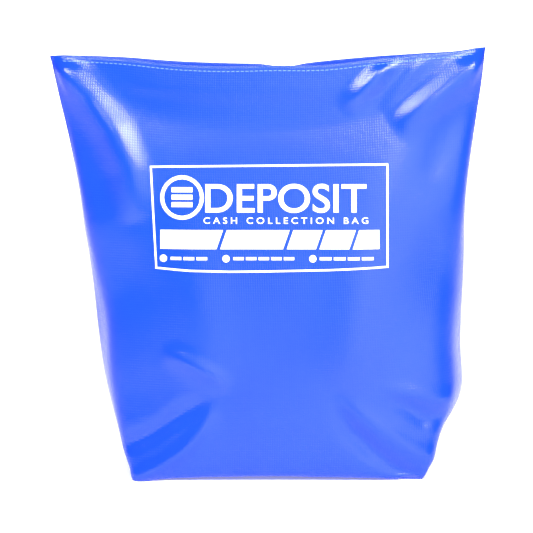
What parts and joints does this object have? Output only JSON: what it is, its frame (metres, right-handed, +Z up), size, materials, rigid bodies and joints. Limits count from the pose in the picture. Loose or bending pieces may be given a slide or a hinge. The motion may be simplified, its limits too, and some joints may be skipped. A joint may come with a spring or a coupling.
{
  "type": "cash deposit bag",
  "caption": "Boxed-bottom cash deposit bag of glossy blue coated cloth, closed by a zip recessed between its two top edges.",
  "frame": {"origin": "middle of the base, on the surface the bag stands on", "axes": "+X to the right seen from the front, -Y the front panel's side, +Z up towards the zip"},
  "size_m": [0.254, 0.0984, 0.2494],
  "materials": {
    "glossy_pvc_cloth": "gloss PVC coating over a plain weave",
    "woven_binding": "matte woven tape",
    "polyester_thread": "satin twisted thread",
    "zip_tape": "matte herringbone tape",
    "nylon_coil": "satin nylon",
    "nickel_plate": "bright nickel plate on cast zinc and brass"
  },
  "bodies": {
    "bag": {"front_panel": "glossy_pvc_cloth", "back_panel": "glossy_pvc_cloth", "left_end_tab": "glossy_pvc_cloth", "right_end_tab": "glossy_pvc_cloth", "left_side_binding": "woven_binding", "right_side_binding": "woven_binding", "left_corner_binding": "woven_binding", "right_corner_binding": "woven_binding", "base_seam_binding": "woven_binding", "front_top_stitching": "polyester_thread", "back_top_stitching": "polyester_thread", "left_side_stitching": "polyester_thread", "right_side_stitching": "polyester_thread", "left_corner_stitching": "polyester_thread", "right_corner_stitching": "polyester_thread", "base_stitching": "polyester_thread", "front_zip_tape": "zip_tape", "back_zip_tape": "zip_tape", "front_zip_coil": "nylon_coil", "back_zip_coil": "nylon_coil", "front_top_stop": "nickel_plate", "back_top_stop": "nickel_plate", "bottom_stop": "nickel_plate", "seal_eyelet": "nickel_plate", "eyelet_washer": "nickel_plate"},
    "slider": {"slider_body": "nickel_plate"},
    "pull": {"pull_tab": "nickel_plate"}
  },
  "joints": [
    {"name": "zip_slide", "type": "slide", "parent": "bag", "child": "slider", "axis": [-1, 0, 0], "range_m": [0, 0.177]},
    {"name": "pull_hinge", "type": "hinge", "parent": "slider", "child": "pull", "pos_m": [0.0905, 0, 0.2352], "axis": [0, 1, 0], "range_deg": [0, 150]}
  ]
}
